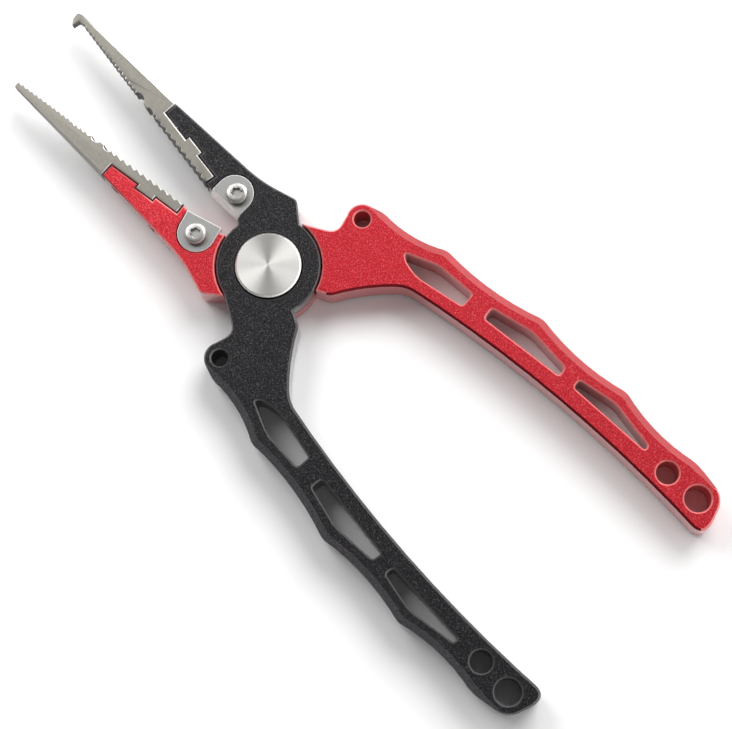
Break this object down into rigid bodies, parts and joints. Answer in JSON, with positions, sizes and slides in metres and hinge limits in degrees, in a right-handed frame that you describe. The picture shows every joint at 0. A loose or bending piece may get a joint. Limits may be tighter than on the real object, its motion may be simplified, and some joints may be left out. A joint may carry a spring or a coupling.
{
  "type": "fishing pliers",
  "caption": "Open fishing pliers: long toothed steel jaws with a hooked beak, bolted side cutters, round pivot cap and two slotted anodised aluminium grips, one black and one red.",
  "frame": {"origin": "on the pivot axis at the flat back face, in the middle of the closed pivot nut", "axes": "+X along the pliers from the pivot to the jaw tips, +Z along the pivot axis out of the capped front, +Y to the black grip's side"},
  "size_m": [0.1883, 0.0726, 0.0105],
  "materials": {
    "black_anodised": "bead-blasted, black anodised",
    "red_anodised": "bead-blasted, red anodised, bright chamfers",
    "jaw_steel": "satin stainless steel",
    "carbide": "fine ground hard metal",
    "spun_steel": "face turned, radially brushed",
    "screw_steel": "polished stainless steel",
    "bronze": "plain bearing bronze",
    "slip_plastic": "plain slip washer plastic",
    "spring_steel": "drawn spring wire"
  },
  "bodies": {
    "black": {"black_lever": "black_anodised", "black_jaw": "jaw_steel", "black_cutter": "carbide", "black_cutter_screw": "screw_steel", "black_jaw_screw_rear": "screw_steel", "black_jaw_screw_front": "screw_steel", "pivot_cap": "spun_steel", "pivot_bolt": "screw_steel", "pivot_nut": "screw_steel", "back_washer": "slip_plastic", "middle_washer": "slip_plastic", "return_spring": "spring_steel", "stop_pin": "screw_steel"},
    "red": {"red_lever": "red_anodised", "red_jaw": "jaw_steel", "red_cutter": "carbide", "red_cutter_screw": "screw_steel", "red_jaw_screw_rear": "screw_steel", "red_jaw_screw_front": "screw_steel", "pivot_bush": "bronze"}
  },
  "joints": [
    {"name": "pivot", "type": "hinge", "parent": "black", "child": "red", "pos_m": [0, 0, 0.0045], "axis": [0, 0, -1], "range_deg": [0, 15.5], "stiffness_Nm_per_rad": 0.6, "springref_deg": -20.05, "deforming": ["return_spring"]}
  ]
}
